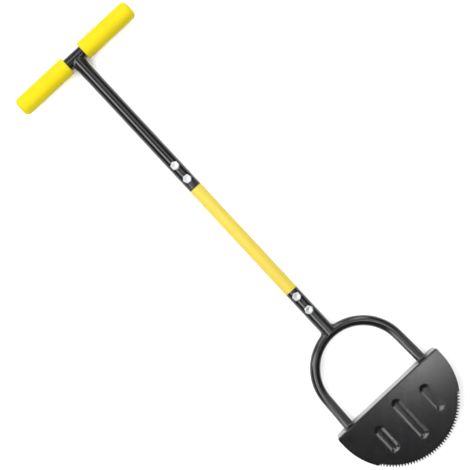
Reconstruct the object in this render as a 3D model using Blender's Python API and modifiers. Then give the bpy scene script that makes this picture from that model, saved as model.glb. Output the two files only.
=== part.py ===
"""Half-moon lawn edger with a T-handle.

A pressed and folded half-moon blade with saw teeth hangs from a bent bail. A three-piece
bolted shaft joins the bail to a crossbar with two soft grips. The tool lies face up:
+X runs along the shaft from the handle to the blade, +Y is across it, +Z is up.
"""

import math

import bmesh
import bpy
from mathutils import Matrix, Vector

MM = 0.001

# Clearances
SEAT_GAP = 0.3 * MM
BOLT_HOLE_CLEARANCE = 0.3 * MM
GRIP_END_CLEARANCE = 0.8 * MM

# Shaft
TUBE_DIAMETER = 25.0 * MM
TUBE_WALL = 1.5 * MM
UPPER_TUBE_LENGTH = 319.0 * MM
MIDDLE_TUBE_SHOWING = 255.0 * MM
SOCKET_LENGTH = 104.0 * MM
SPIGOT_PAST_BOLT = 10.0 * MM
NECK_TAPER = 3.0 * MM
COPE_OVERLAP = 1.0 * MM

# Handle
CROSSBAR_DIAMETER = 25.0 * MM
CROSSBAR_WALL = 1.5 * MM
CROSSBAR_SHOWING = 38.0 * MM
GRIP_LENGTH = 115.5 * MM
GRIP_DIAMETER = 36.5 * MM
GRIP_END_WALL = 5.5 * MM
GRIP_END_ROUND = 8.0 * MM
GRIP_MOUTH_ROUND = 2.0 * MM

# Bolted joints
BOLT_DIAMETER = 9.5 * MM
BOLT_SPACING = 32.3 * MM
UPPER_JOINT_SETBACK = 21.0 * MM
LOWER_JOINT_SETBACK = 13.3 * MM
HEX_ACROSS_FLATS = 14.3 * MM
HEAD_HEIGHT = 6.0 * MM
HEAD_DISH_DIAMETER = 8.6 * MM
HEAD_DISH_DEPTH = 0.9 * MM
NUT_HEIGHT = 6.5 * MM
HEX_CHAMFER = 1.0 * MM
WASHER_DIAMETER = 20.0 * MM
WASHER_THICKNESS = 1.6 * MM
BOLT_TIP_SHOWING = 0.8 * MM
HEAD_TURNS = (0.0, 17.0, 4.0, 30.0)

# Bail
BAIL_DIAMETER = 19.0 * MM
BAIL_WALL = 1.8 * MM
BAIL_ARCH_RADIUS = 87.0 * MM
BAIL_LEG_LENGTH = 62.5 * MM
BAIL_LEG_SPLAY = math.radians(2.2)

# Blade
BLADE_RADIUS = 120.5 * MM
BLADE_SHEET = 2.5 * MM
BLADE_CENTRE_BELOW_STEP = 16.0 * MM
BLADE_FACE_ABOVE_AXIS = 24.0 * MM
STEP_DEPTH = 46.0 * MM
STEP_BEND_RADIUS = 3.6 * MM
STEP_INSET = 2.0 * MM
STEP_CORNER_ROUND = 12.0 * MM
TOOTH_COUNT = 41
TOOTH_DEPTH = 4.5 * MM
TOOTHED_ARC = math.radians(109.0)
TOOTH_TIP_SHARE = 0.16
TOOTH_GULLET_SHARE = 0.2

# Pressed ribs, each from its start below the arc's centre towards the teeth
RIB_WIDTH = 20.0 * MM
RIB_FLOOR_WIDTH = 8.0 * MM
RIB_DEPTH = 3.4 * MM
SIDE_RIB_OFFSET = 55.0 * MM
SIDE_RIB_FROM_CENTRE = 15.0 * MM
SIDE_RIB_LENGTH = 58.5 * MM
MIDDLE_RIB_FROM_CENTRE = 0.5 * MM
MIDDLE_RIB_LENGTH = 90.0 * MM

# Welds
SHAFT_WELD_RADIUS = 2.8 * MM
CROWN_WELD_RADIUS = 2.3 * MM
FOOT_WELD_RADIUS = 2.4 * MM

# Fineness of round shapes
TURN_STEPS = 36
SMALL_TURN_STEPS = 24
BAIL_SIDES = 5
WELD_SIDES = 2
ARCH_STEPS = 31
WELD_STEPS = 32

# Worked out from the sizes above
TUBE_R = TUBE_DIAMETER / 2
TUBE_BORE_R = TUBE_R - TUBE_WALL
SPIGOT_R = TUBE_BORE_R - SEAT_GAP
CROSSBAR_R = CROSSBAR_DIAMETER / 2
GRIP_R = GRIP_DIAMETER / 2
BAIL_R = BAIL_DIAMETER / 2
BOLT_R = BOLT_DIAMETER / 2
HEX_CORNER_R = HEX_ACROSS_FLATS / math.sqrt(3)
STACK_BELOW_TUBE = 2 * SEAT_GAP + WASHER_THICKNESS + NUT_HEIGHT + BOLT_TIP_SHOWING
BOLT_REACH = TUBE_R + STACK_BELOW_TUBE
STEP_REACH = STEP_DEPTH - BLADE_FACE_ABOVE_AXIS

# Stations along the shaft, from the crossbar's axis
UPPER_RIM = UPPER_TUBE_LENGTH
LOWER_RIM = UPPER_RIM + MIDDLE_TUBE_SHOWING
CROWN = LOWER_RIM + SOCKET_LENGTH
ARCH_CENTRE = CROWN + BAIL_ARCH_RADIUS
ARCH_END = ARCH_CENTRE - BAIL_ARCH_RADIUS * math.sin(BAIL_LEG_SPLAY)
STEP_TOP = ARCH_END + BAIL_LEG_LENGTH
BLADE_CENTRE = STEP_TOP + BLADE_CENTRE_BELOW_STEP
BLADE_TIP = BLADE_CENTRE + BLADE_RADIUS
UPPER_BOLTS = (UPPER_RIM - UPPER_JOINT_SETBACK - BOLT_SPACING, UPPER_RIM - UPPER_JOINT_SETBACK)
LOWER_BOLTS = (LOWER_RIM + LOWER_JOINT_SETBACK, LOWER_RIM + LOWER_JOINT_SETBACK + BOLT_SPACING)

# The frame stands on the lowest point, under the middle of the whole tool
HANDLE_REACH = max(GRIP_R, CROSSBAR_R)
AXIS_X = (HANDLE_REACH - BLADE_TIP) / 2
AXIS_Z = max(BOLT_REACH, STEP_REACH, HANDLE_REACH)
FACE_Z = BLADE_FACE_ABOVE_AXIS
BEND_CENTRE = (STEP_TOP + STEP_BEND_RADIUS, FACE_Z - STEP_BEND_RADIUS)

# Turns that carry a shape's own Z axis along another one
ALONG_X = Matrix.Rotation(math.pi / 2, 4, "Y")
ALONG_Y = Matrix.Rotation(-math.pi / 2, 4, "X")
AGAINST_Y = Matrix.Rotation(math.pi / 2, 4, "X")
# A flat outline drawn in X and Z, extruded across the tool
OUTLINE_XZ = Matrix.Rotation(math.pi / 2, 4, "X")
# A flat outline drawn in Y and Z, extruded along the tool
OUTLINE_YZ = Matrix(((0, 0, 1, 0), (1, 0, 0, 0), (0, 1, 0, 0), (0, 0, 0, 1)))


def place(station=0.0, across=0.0, height=0.0):
    """World place of a point given from the crossbar's centre."""
    return Matrix.Translation((AXIS_X + station, across, AXIS_Z + height))


def arc(centre, radius, start, end, steps):
    """Points along a circle in a plane, both ends included."""
    turn = (end - start) / steps
    angles = [start + turn * i for i in range(steps + 1)]
    return [(centre[0] + radius * math.cos(a), centre[1] + radius * math.sin(a)) for a in angles]


def make_collection(name):
    collection = bpy.data.collections.new(name)
    bpy.context.scene.collection.children.link(collection)
    return collection


def make_material(name, colour, roughness, metallic):
    material = bpy.data.materials.new(name)
    material.use_nodes = True
    shader = material.node_tree.nodes["Principled BSDF"]
    shader.inputs["Base Color"].default_value = (*colour, 1.0)
    shader.inputs["Roughness"].default_value = roughness
    shader.inputs["Metallic"].default_value = metallic
    return material


class Workshop:
    """Keeps the two collections and makes shapes for either of them."""

    def __init__(self):
        self.parts = make_collection("lawn_edger")
        self.cutters = make_collection("cutters")

    def part(self, obj, material):
        """Adds a finished sub-part with a material of its own."""
        self.parts.objects.link(obj)
        obj.data.materials.clear()
        obj.data.materials.append(material)
        return obj

    def guide(self, obj):
        """Adds a shape that only cuts or joins another one."""
        self.cutters.objects.link(obj)
        obj.hide_render = True
        obj.display_type = "WIRE"
        return obj

    def shape(self, obj, guides, operation, solver):
        """Cuts, joins or trims an object with guide shapes."""
        for tool in guides:
            change = obj.modifiers.new(f"{operation.lower()}_{tool.name}", "BOOLEAN")
            change.operation = operation
            change.solver = solver
            change.object = self.guide(tool)

    def cut(self, obj, *guides, solver="EXACT"):
        self.shape(obj, guides, "DIFFERENCE", solver)

    def join(self, obj, *guides, solver="EXACT"):
        self.shape(obj, guides, "UNION", solver)

    def trim(self, obj, *guides, solver="EXACT"):
        self.shape(obj, guides, "INTERSECT", solver)

    def coped_tube(self, tube, weld, bore, clearance, holes):
        """Welds, bores, copes and drills a tube whose wall meets another round wall edge on."""
        self.join(tube, weld, solver="MANIFOLD")
        self.cut(tube, bore, clearance, *holes, solver="MANIFOLD")


def turned(name, profile, matrix, steps=TURN_STEPS, closed=False):
    """A turned solid: radius and height points, run down the outer side, swept about Z."""
    mesh = bpy.data.meshes.new(name)
    edges = [(i, i + 1) for i in range(len(profile) - 1)]
    if closed:
        edges.append((len(profile) - 1, 0))
    mesh.from_pydata([(radius, 0.0, height) for radius, height in profile], edges, [])
    obj = bpy.data.objects.new(name, mesh)
    obj.matrix_world = matrix
    screw = obj.modifiers.new("turn", "SCREW")
    screw.steps = steps
    screw.render_steps = steps
    screw.use_merge_vertices = True
    screw.merge_threshold = 0.00001
    screw.use_smooth_shade = True
    return obj


def rod(name, radius, bottom, top, matrix, steps=TURN_STEPS):
    """A plain round bar from one height to another."""
    return turned(name, [(0.0, top), (radius, top), (radius, bottom), (0.0, bottom)], matrix, steps)


def mesh_from_curve(name, curve, matrix):
    """A curve made into a closed mesh with its caps welded on."""
    source = bpy.data.objects.new(name, curve)
    bpy.context.scene.collection.objects.link(source)
    source.matrix_world = matrix
    bpy.context.view_layer.update()
    evaluated = source.evaluated_get(bpy.context.evaluated_depsgraph_get())
    mesh = bpy.data.meshes.new_from_object(evaluated)
    mesh.name = name
    bpy.data.objects.remove(source)
    body = bmesh.new()
    body.from_mesh(mesh)
    bmesh.ops.remove_doubles(body, verts=body.verts, dist=0.000005)
    bmesh.ops.recalc_face_normals(body, faces=body.faces)
    body.to_mesh(mesh)
    body.free()
    obj = bpy.data.objects.new(name, mesh)
    obj.matrix_world = matrix
    return obj


def poly_spline(curve, points, cyclic):
    spline = curve.splines.new("POLY")
    spline.points.add(len(points) - 1)
    for target, point in zip(spline.points, points):
        target.co = (*point, 1.0)
    spline.use_cyclic_u = cyclic


def sweep(name, points, radius, sides, cyclic=False):
    """A round bar or bead that follows points given from the crossbar's centre."""
    curve = bpy.data.curves.new(name, "CURVE")
    curve.dimensions = "3D"
    curve.bevel_depth = radius
    curve.bevel_resolution = sides
    curve.use_fill_caps = not cyclic
    curve.render_resolution_u = 0
    poly_spline(curve, points, cyclic)
    return mesh_from_curve(name, curve, place())


def plate(name, outline, half_thickness, matrix):
    """A flat outline extruded to both sides of its plane."""
    curve = bpy.data.curves.new(name, "CURVE")
    curve.dimensions = "2D"
    curve.fill_mode = "BOTH"
    curve.extrude = half_thickness
    curve.render_resolution_u = 0
    poly_spline(curve, [(x, y, 0.0) for x, y in outline], True)
    return mesh_from_curve(name, curve, matrix)


def hexagon(name, bottom, top, matrix):
    """A hexagonal bar with two corners on its own X axis."""
    mesh = bpy.data.meshes.new(name)
    body = bmesh.new()
    middle = Matrix.Translation((0.0, 0.0, (bottom + top) / 2)) @ Matrix.Rotation(math.pi / 6, 4, "Z")
    bmesh.ops.create_cone(
        body,
        cap_ends=True,
        segments=6,
        radius1=HEX_CORNER_R,
        radius2=HEX_CORNER_R,
        depth=top - bottom,
        matrix=middle,
    )
    body.to_mesh(mesh)
    body.free()
    obj = bpy.data.objects.new(name, mesh)
    obj.matrix_world = matrix
    return obj


def loft(name, rings, matrix):
    """A closed solid through rings of equally many points, with flat ends."""
    body = bmesh.new()
    loops = [[body.verts.new(point) for point in ring] for ring in rings]
    count = len(loops[0])
    for upper, lower in zip(loops, loops[1:]):
        for i in range(count):
            body.faces.new((upper[i], upper[(i + 1) % count], lower[(i + 1) % count], lower[i]))
    body.faces.new(loops[0])
    body.faces.new(list(reversed(loops[-1])))
    bmesh.ops.recalc_face_normals(body, faces=body.faces)
    mesh = bpy.data.meshes.new(name)
    body.to_mesh(mesh)
    body.free()
    obj = bpy.data.objects.new(name, mesh)
    obj.matrix_world = matrix
    return obj


def bolt_holes(name, stations):
    """Cross holes for the bolts at some stations, through the whole tube."""
    radius = BOLT_R + BOLT_HOLE_CLEARANCE
    return [
        rod(f"{name}_hole_{i}", radius, -2 * TUBE_R, 2 * TUBE_R, place(station), SMALL_TURN_STEPS)
        for i, station in enumerate(stations, 1)
    ]


def weld_loop(tube_radius, station):
    """Closed path round a tube's end, whose stations come from a rule of place and angle."""
    points = []
    for i in range(WELD_STEPS):
        angle = 2 * math.pi * i / WELD_STEPS
        across = tube_radius * math.cos(angle)
        height = tube_radius * math.sin(angle)
        points.append((station(across, height), across, height))
    return points


def make_crossbar(shop, material):
    """The bare steel tube that both grips slide over."""
    half = CROSSBAR_SHOWING / 2 + GRIP_LENGTH - GRIP_END_WALL - GRIP_END_CLEARANCE
    bore = CROSSBAR_R - CROSSBAR_WALL
    profile = [(CROSSBAR_R, half), (CROSSBAR_R, -half), (bore, -half), (bore, half)]
    shop.part(turned("crossbar", profile, place() @ ALONG_Y, closed=True), material)


def make_grip(shop, name, turn, material):
    """A soft sleeve with a closed, rounded outer end and a rounded mouth."""
    bore = CROSSBAR_R + SEAT_GAP
    end_round = min(GRIP_END_ROUND, GRIP_R - 1 * MM)
    mouth_round = min(GRIP_MOUTH_ROUND, (GRIP_R - bore) / 2)
    end = arc((GRIP_R - end_round, GRIP_LENGTH - end_round), end_round, math.pi / 2, 0.0, 5)
    mouth = arc((GRIP_R - mouth_round, mouth_round), mouth_round, 0.0, -math.pi / 2, 3)
    blind_end = GRIP_LENGTH - GRIP_END_WALL
    profile = [(0.0, GRIP_LENGTH), *end, *mouth, (bore, 0.0), (bore, blind_end), (0.0, blind_end)]
    mouth_place = Matrix.Translation((0.0, 0.0, CROSSBAR_SHOWING / 2))
    shop.part(turned(name, profile, place() @ turn @ mouth_place), material)


def make_upper_tube(shop, material):
    """The shaft's top tube, coped and welded to the crossbar and drilled for two bolts."""

    def on_crossbar(across, _):
        return math.hypot(across * CROSSBAR_R / TUBE_R, 2 * SHAFT_WELD_RADIUS)

    tube = rod("upper_tube", TUBE_R, -COPE_OVERLAP, UPPER_TUBE_LENGTH, place() @ ALONG_X)
    lean = 1 - SHAFT_WELD_RADIUS / (2 * TUBE_R)
    path = [(x, y, z * lean) for x, y, z in weld_loop(TUBE_R, on_crossbar)]
    weld = sweep("shaft_weld", path, SHAFT_WELD_RADIUS, WELD_SIDES, cyclic=True)
    past = UPPER_TUBE_LENGTH + TUBE_R
    bore = rod("upper_bore", TUBE_BORE_R, -TUBE_R, past, place() @ ALONG_X)
    clear = CROSSBAR_R + SEAT_GAP
    half = CROSSBAR_SHOWING / 2 + GRIP_LENGTH
    clearance = rod("crossbar_clearance", clear, -half, half, place() @ ALONG_Y, 2 * TURN_STEPS)
    shop.coped_tube(tube, weld, bore, clearance, bolt_holes("upper_tube", UPPER_BOLTS))
    shop.part(tube, material)


def make_middle_tube(shop, material):
    """The coloured tube, necked down at both ends to slide into its neighbours."""
    start = UPPER_BOLTS[0] - SPIGOT_PAST_BOLT
    end = LOWER_BOLTS[1] + SPIGOT_PAST_BOLT
    shoulder_a = UPPER_RIM + SEAT_GAP
    shoulder_b = LOWER_RIM - SEAT_GAP
    bore = SPIGOT_R - TUBE_WALL
    wide_bore = TUBE_R - TUBE_WALL
    profile = [
        (SPIGOT_R, end),
        (SPIGOT_R, shoulder_b),
        (TUBE_R, shoulder_b),
        (TUBE_R, shoulder_a),
        (SPIGOT_R, shoulder_a),
        (SPIGOT_R, start),
        (bore, start),
        (bore, shoulder_a + TUBE_WALL),
        (wide_bore, shoulder_a + TUBE_WALL + NECK_TAPER),
        (wide_bore, shoulder_b - TUBE_WALL - NECK_TAPER),
        (bore, shoulder_b - TUBE_WALL),
        (bore, end),
    ]
    tube = turned("middle_tube", profile, place() @ ALONG_X, closed=True)
    shop.cut(tube, *bolt_holes("middle_tube", UPPER_BOLTS + LOWER_BOLTS))
    shop.part(tube, material)


def bail_path(past_step):
    """Centreline of the bail: splayed leg, arch, splayed leg."""
    outward = math.sin(BAIL_LEG_SPLAY)
    along = math.cos(BAIL_LEG_SPLAY)
    leg = BAIL_LEG_LENGTH / along + past_step
    half_arch = math.pi / 2 - BAIL_LEG_SPLAY
    arch = arc((0.0, 0.0), BAIL_ARCH_RADIUS, -half_arch, half_arch, ARCH_STEPS)
    points = [(ARCH_CENTRE - x, y, 0.0) for x, y in arch]
    first = Vector(points[0]) + Vector((along, -outward, 0.0)) * leg
    last = Vector(points[-1]) + Vector((along, outward, 0.0)) * leg
    return [first, *points, last]


def step_surface(height):
    """Station of the folded step's outer surface at a height, round its bend too."""
    over_bend = min(max(height - BEND_CENTRE[1], 0.0), STEP_BEND_RADIUS)
    return BEND_CENTRE[0] - math.sqrt(STEP_BEND_RADIUS**2 - over_bend**2)


def make_socket_tube(shop, material):
    """The lower socket: bored for the middle tube, coped over the bail's crown and welded."""

    def on_crown(across, _):
        sag = BAIL_ARCH_RADIUS - math.sqrt(BAIL_ARCH_RADIUS**2 - across**2)
        return CROWN + sag - math.hypot(across * BAIL_R / TUBE_R, 2 * CROWN_WELD_RADIUS)

    tube = rod("socket_tube", TUBE_R, LOWER_RIM, CROWN - COPE_OVERLAP, place() @ ALONG_X)
    lean = (BAIL_R + CROWN_WELD_RADIUS / 2) / TUBE_R
    path = [(x, y, z * lean) for x, y, z in weld_loop(TUBE_R, on_crown)]
    weld = sweep("crown_weld", path, CROWN_WELD_RADIUS, WELD_SIDES, cyclic=True)
    past = CROWN + BAIL_R
    bore = rod("socket_bore", TUBE_BORE_R, LOWER_RIM - TUBE_R, past, place() @ ALONG_X)
    clearance = sweep("bail_clearance", bail_path(0.0), BAIL_R + SEAT_GAP, BAIL_SIDES)
    shop.coped_tube(tube, weld, bore, clearance, bolt_holes("socket_tube", LOWER_BOLTS))
    shop.part(tube, material)


def foot_weld(name, side):
    """The bead round one foot of the bail, laid on the step and over its bend."""
    foot = BAIL_ARCH_RADIUS * math.cos(BAIL_LEG_SPLAY) + BAIL_LEG_LENGTH * math.tan(BAIL_LEG_SPLAY)

    loop = weld_loop(BAIL_R + FOOT_WELD_RADIUS / 4, lambda _, height: step_surface(height))
    path = [(x, side * foot + y, z) for x, y, z in loop]
    return sweep(name, path, FOOT_WELD_RADIUS, WELD_SIDES, cyclic=True)


def make_bail(shop, material):
    """The bent round tube whose two feet are coped and welded to the blade's step."""
    past_step = STEP_BEND_RADIUS + BAIL_R
    bail = sweep("bail", bail_path(past_step), BAIL_R, BAIL_SIDES)
    shop.join(bail, foot_weld("left_foot_weld", -1), foot_weld("right_foot_weld", 1))
    bore = BAIL_R - BAIL_WALL
    shop.cut(bail, sweep("bail_bore", bail_path(2 * past_step), bore, BAIL_SIDES))
    outer = step_outer_line(SEAT_GAP, 3 * STEP_DEPTH)
    block = [*outer, (outer[-1][0], outer[0][1])]
    shop.cut(bail, plate("step_clearance", block, 2 * BLADE_RADIUS, place() @ OUTLINE_XZ))
    shop.part(bail, material)


def step_outer_line(grown, blade_reach):
    """Side view of the blade's outer surface: up the step, round the bend, down the face."""
    top = STEP_TOP - grown
    face = FACE_Z + grown
    low = FACE_Z - STEP_DEPTH - STEP_BEND_RADIUS
    bend = arc(BEND_CENTRE, STEP_BEND_RADIUS + grown, math.pi, math.pi / 2, 10)
    return [(top, low), *bend, (STEP_TOP + blade_reach, face)]


def folded_sheet():
    """The sheet before trimming, folded back along the step."""
    reach = BLADE_TIP - STEP_TOP + TOOTH_DEPTH
    outer = step_outer_line(0.0, reach)
    inner = step_outer_line(-BLADE_SHEET, reach)
    return plate("blade", [*outer, *reversed(inner)], BLADE_RADIUS + TOOTH_DEPTH, place() @ OUTLINE_XZ)


def blade_plan():
    """Half-moon outline with straight shoulders, plain corners and saw teeth between them."""
    half = TOOTHED_ARC / 2
    pitch = TOOTHED_ARC / TOOTH_COUNT
    tip = pitch * TOOTH_TIP_SHARE / 2
    gullet = pitch * TOOTH_GULLET_SHARE / 2
    root = BLADE_RADIUS - TOOTH_DEPTH
    centre = (BLADE_CENTRE, 0.0)
    above = STEP_TOP - STEP_BEND_RADIUS
    outline = [(above, -BLADE_RADIUS)]
    outline += arc(centre, BLADE_RADIUS, -math.pi / 2, -half, 10)
    for i in range(TOOTH_COUNT):
        start = -half + pitch * i
        steps = (
            (root, start + gullet),
            (BLADE_RADIUS, start + pitch / 2 - tip),
            (BLADE_RADIUS, start + pitch / 2 + tip),
            (root, start + pitch - gullet),
        )
        outline += [(centre[0] + r * math.cos(a), r * math.sin(a)) for r, a in steps]
    outline += arc(centre, BLADE_RADIUS, half, math.pi / 2, 10)
    outline.append((above, BLADE_RADIUS))
    return outline


def step_plan():
    """End view that trims the step: full width at the face, drawn in round the bend."""
    wide = BLADE_RADIUS + TOOTH_DEPTH
    step_half = BLADE_RADIUS - STEP_INSET
    rear = FACE_Z - STEP_DEPTH
    corner = min(STEP_CORNER_ROUND, STEP_DEPTH - STEP_BEND_RADIUS - 1 * MM)
    drawn_in = FACE_Z - STEP_BEND_RADIUS
    right = arc((step_half - corner, rear + corner), corner, -math.pi / 2, 0.0, 6)
    right += [(step_half, drawn_in), (BLADE_RADIUS, FACE_Z - BLADE_SHEET), (wide, FACE_Z - BLADE_SHEET)]
    right.append((wide, FACE_Z + BLADE_SHEET))
    left = [(-y, z) for y, z in reversed(right)]
    return [*right, *left]


def rib_profile(grown):
    """Radius and depth down a pressed rib's wall, grown outwards by the sheet on the back."""
    rim = RIB_WIDTH / 2
    floor = RIB_FLOOR_WIDTH / 2
    points = []
    for step in range(1, 8):
        share = step / 7
        depth = RIB_DEPTH * (1 - math.cos(math.pi * share)) / 2
        slope = RIB_DEPTH * math.pi / 2 * math.sin(math.pi * share) / (rim - floor)
        lean = math.atan(slope)
        radius = rim + (floor - rim) * share
        points.append((radius + grown * math.sin(lean), depth + grown * math.cos(lean)))
    return points


def pressed_rib(name, across, from_centre, length, grown):
    """A long round-ended form, open side up: the hollow, or the swelling behind it."""
    run = length - RIB_WIDTH
    top_depth = grown / 2 if grown else -RIB_DEPTH / 3
    top_radius = RIB_WIDTH / 2 + (grown / 4 if grown else RIB_DEPTH / 3)
    rings = []
    for radius, depth in [(top_radius, top_depth), *rib_profile(grown)]:
        near = arc((0.0, 0.0), radius, math.pi / 2, 3 * math.pi / 2, 9)
        far = arc((run, 0.0), radius, -math.pi / 2, math.pi / 2, 9)
        rings.append([(x, y, -depth) for x, y in near + far])
    start = BLADE_CENTRE + from_centre + RIB_WIDTH / 2
    return loft(name, rings, place(start, across, FACE_Z))


def make_blade(shop, material):
    """Folded sheet, trimmed to the half-moon and its step, with three pressed ribs."""
    blade = folded_sheet()
    plan_depth = 3 * STEP_DEPTH
    shop.trim(blade, plate("half_moon_plan", blade_plan(), plan_depth, place()))
    span = 2 * (BLADE_TIP - STEP_TOP)
    shop.trim(blade, plate("step_plan", step_plan(), span, place(BLADE_CENTRE) @ OUTLINE_YZ))
    ribs = {
        "left": (-SIDE_RIB_OFFSET, SIDE_RIB_FROM_CENTRE, SIDE_RIB_LENGTH),
        "middle": (0.0, MIDDLE_RIB_FROM_CENTRE, MIDDLE_RIB_LENGTH),
        "right": (SIDE_RIB_OFFSET, SIDE_RIB_FROM_CENTRE, SIDE_RIB_LENGTH),
    }
    shop.join(blade, *[pressed_rib(f"{k}_rib_back", *rib, BLADE_SHEET) for k, rib in ribs.items()])
    shop.cut(blade, *[pressed_rib(f"{k}_rib_hollow", *rib, 0.0) for k, rib in ribs.items()])
    shop.part(blade, material)


def chamfered_top(radius, top):
    """Profile down the sloped corners of a hexagon's end."""
    return [(radius - HEX_CHAMFER * math.sqrt(3), top), (radius, top - HEX_CHAMFER)]


def make_bolt(shop, name, station, head_turn, material):
    """A hexagon bolt with a dished head, its shank through both walls and its tip below the nut."""
    under_head = TUBE_R + SEAT_GAP
    top = under_head + HEAD_HEIGHT
    tip = -BOLT_REACH
    dish = HEAD_DISH_DIAMETER / 2
    corner = HEX_CORNER_R + HEX_CHAMFER
    profile = [
        (0.0, top - HEAD_DISH_DEPTH),
        (dish - HEAD_DISH_DEPTH, top - HEAD_DISH_DEPTH),
        (dish, top),
        *chamfered_top(corner, top),
        (corner, under_head),
        (BOLT_R, under_head),
        (BOLT_R, tip + BOLT_R / 4),
        (BOLT_R - BOLT_R / 4, tip),
        (0.0, tip),
    ]
    turn = Matrix.Rotation(math.radians(head_turn), 4, "Z")
    bolt = turned(name, profile, place(station) @ turn, SMALL_TURN_STEPS)
    span = 2 * (top - tip)
    shop.trim(bolt, hexagon(f"{name}_flats", -span, span, place(station) @ turn))
    shop.part(bolt, material)


def make_washer(shop, name, station, material):
    """The flat washer under a nut, at the back of the tube."""
    top = -TUBE_R - SEAT_GAP
    bottom = top - WASHER_THICKNESS
    outer = WASHER_DIAMETER / 2
    bore = BOLT_R + BOLT_HOLE_CLEARANCE
    profile = [(outer, top), (outer, bottom), (bore, bottom), (bore, top)]
    shop.part(turned(name, profile, place(station), SMALL_TURN_STEPS, closed=True), material)


def make_nut(shop, name, station, turn, material):
    """A hexagon nut with both ends chamfered."""
    top = -TUBE_R - 2 * SEAT_GAP - WASHER_THICKNESS
    bottom = top - NUT_HEIGHT
    bore = BOLT_R + SEAT_GAP
    corner = HEX_CORNER_R + HEX_CHAMFER
    upper = chamfered_top(corner, top)
    lower = [(radius, top + bottom - height) for radius, height in reversed(upper)]
    profile = [*upper, *lower, (bore, bottom), (bore, top)]
    matrix = place(station) @ Matrix.Rotation(math.radians(turn), 4, "Z")
    nut = turned(name, profile, matrix, SMALL_TURN_STEPS, closed=True)
    shop.trim(nut, hexagon(f"{name}_flats", 2 * bottom, 0.0, matrix))
    shop.part(nut, material)


def main():
    for obj in list(bpy.data.objects):
        bpy.data.objects.remove(obj, do_unlink=True)
    shop = Workshop()
    black_paint = make_material("black_powder_coat", (0.012, 0.012, 0.013), 0.32, 0.0)
    yellow_paint = make_material("yellow_powder_coat", (0.83, 0.68, 0.02), 0.35, 0.0)
    grip_foam = make_material("yellow_grip_foam", (0.93, 0.78, 0.01), 0.6, 0.0)
    zinc = make_material("zinc_plate", (0.78, 0.79, 0.8), 0.3, 1.0)

    make_crossbar(shop, black_paint)
    make_grip(shop, "grip_left", AGAINST_Y, grip_foam)
    make_grip(shop, "grip_right", ALONG_Y, grip_foam)
    make_upper_tube(shop, black_paint)
    make_middle_tube(shop, yellow_paint)
    make_socket_tube(shop, black_paint)
    make_bail(shop, black_paint)
    make_blade(shop, black_paint)
    for i, station in enumerate(UPPER_BOLTS + LOWER_BOLTS):
        make_bolt(shop, f"bolt_{i + 1}", station, HEAD_TURNS[i], zinc)
        make_washer(shop, f"washer_{i + 1}", station, zinc)
        make_nut(shop, f"nut_{i + 1}", station, HEAD_TURNS[-1 - i], zinc)


main()
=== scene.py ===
"""Finished look of a half-moon lawn edger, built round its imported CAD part, and its studio.

Every piece is drawn in the tool's own directions: X runs from the crossbar's axis along the
shaft to the blade, Y across the tool and Z out of the blade's front. Lengths are in metres.
"""

import math

import bmesh
import bpy
from mathutils import Matrix, Vector
from mathutils.geometry import delaunay_2d_cdt


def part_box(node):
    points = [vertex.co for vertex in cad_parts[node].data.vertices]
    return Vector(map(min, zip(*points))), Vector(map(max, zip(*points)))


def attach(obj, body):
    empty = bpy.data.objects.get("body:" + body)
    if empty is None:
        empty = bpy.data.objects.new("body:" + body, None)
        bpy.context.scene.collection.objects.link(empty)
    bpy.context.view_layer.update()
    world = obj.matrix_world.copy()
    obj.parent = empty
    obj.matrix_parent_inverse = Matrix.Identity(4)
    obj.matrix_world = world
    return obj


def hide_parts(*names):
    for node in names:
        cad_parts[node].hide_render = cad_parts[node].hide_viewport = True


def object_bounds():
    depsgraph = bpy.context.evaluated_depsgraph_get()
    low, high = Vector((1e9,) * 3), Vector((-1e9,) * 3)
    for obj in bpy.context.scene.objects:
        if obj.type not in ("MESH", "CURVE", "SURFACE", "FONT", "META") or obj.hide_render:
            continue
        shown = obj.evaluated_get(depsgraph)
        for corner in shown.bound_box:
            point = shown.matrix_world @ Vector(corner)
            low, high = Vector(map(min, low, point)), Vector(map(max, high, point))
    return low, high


bl_info = {
    "name": "Lawn Edger Studio",
    "version": (1, 0, 0),
    "blender": (4, 5, 0),
    "location": "3D View > Sidebar > Lawn Edger",
    "description": "Builds the finished look of a half-moon lawn edger and its studio",
    "category": "Object",
}

MM = 0.001

# How finely the shapes are divided
TUBE_SIDES = 96
TURNED_SIDES = 72
BAIL_SIDES = 64
ARCH_STEPS = 120
LEG_STEPS = 8
GRIP_END_STEPS = 14
GRIP_MOUTH_STEPS = 8
WELD_SIDES = 360
FOOT_WELD_SIDES = 300
WELD_STEPS = 10
ROW_PIECES = 24
FOLD_STEPS = 10
CORNER_STEPS = 12
SHOULDER_STEPS = 24
RIB_WALL_STEPS = 12
RIB_END_STEPS = 20
RIB_RUN_PIECES = 6
DISH_STEPS = 8

# Rings that divide the shaft's long walls: stations on the upper tube, and distances from the
# rims and from the bail's crown
UPPER_WALL_STATIONS = (200 * MM, 60 * MM, 22 * MM)
UPPER_BORE_STATION = 30 * MM
UPPER_RIM_TO_BORE_RING = 60 * MM
SOCKET_RIM_TO_BORE_RING = 70 * MM
SOCKET_RIM_TO_WALL_RING = 30 * MM
WALL_RING_TO_CROWN = 18 * MM

# How near a cope and the welds' seams come to the axis of the tube they meet, in radii
COPE_LEAST = 0.1
HANDLE_SEAM_LEAST = 0.12
CROWN_SEAM_LEAST = 0.25

# Shares: how far a weld's face is drawn in from flat to its corner, and how much of its length
# along the tube its toe stands off before it settles on the surface
WELD_HOLLOW = 0.62
WELD_TOE = 0.2

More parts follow.
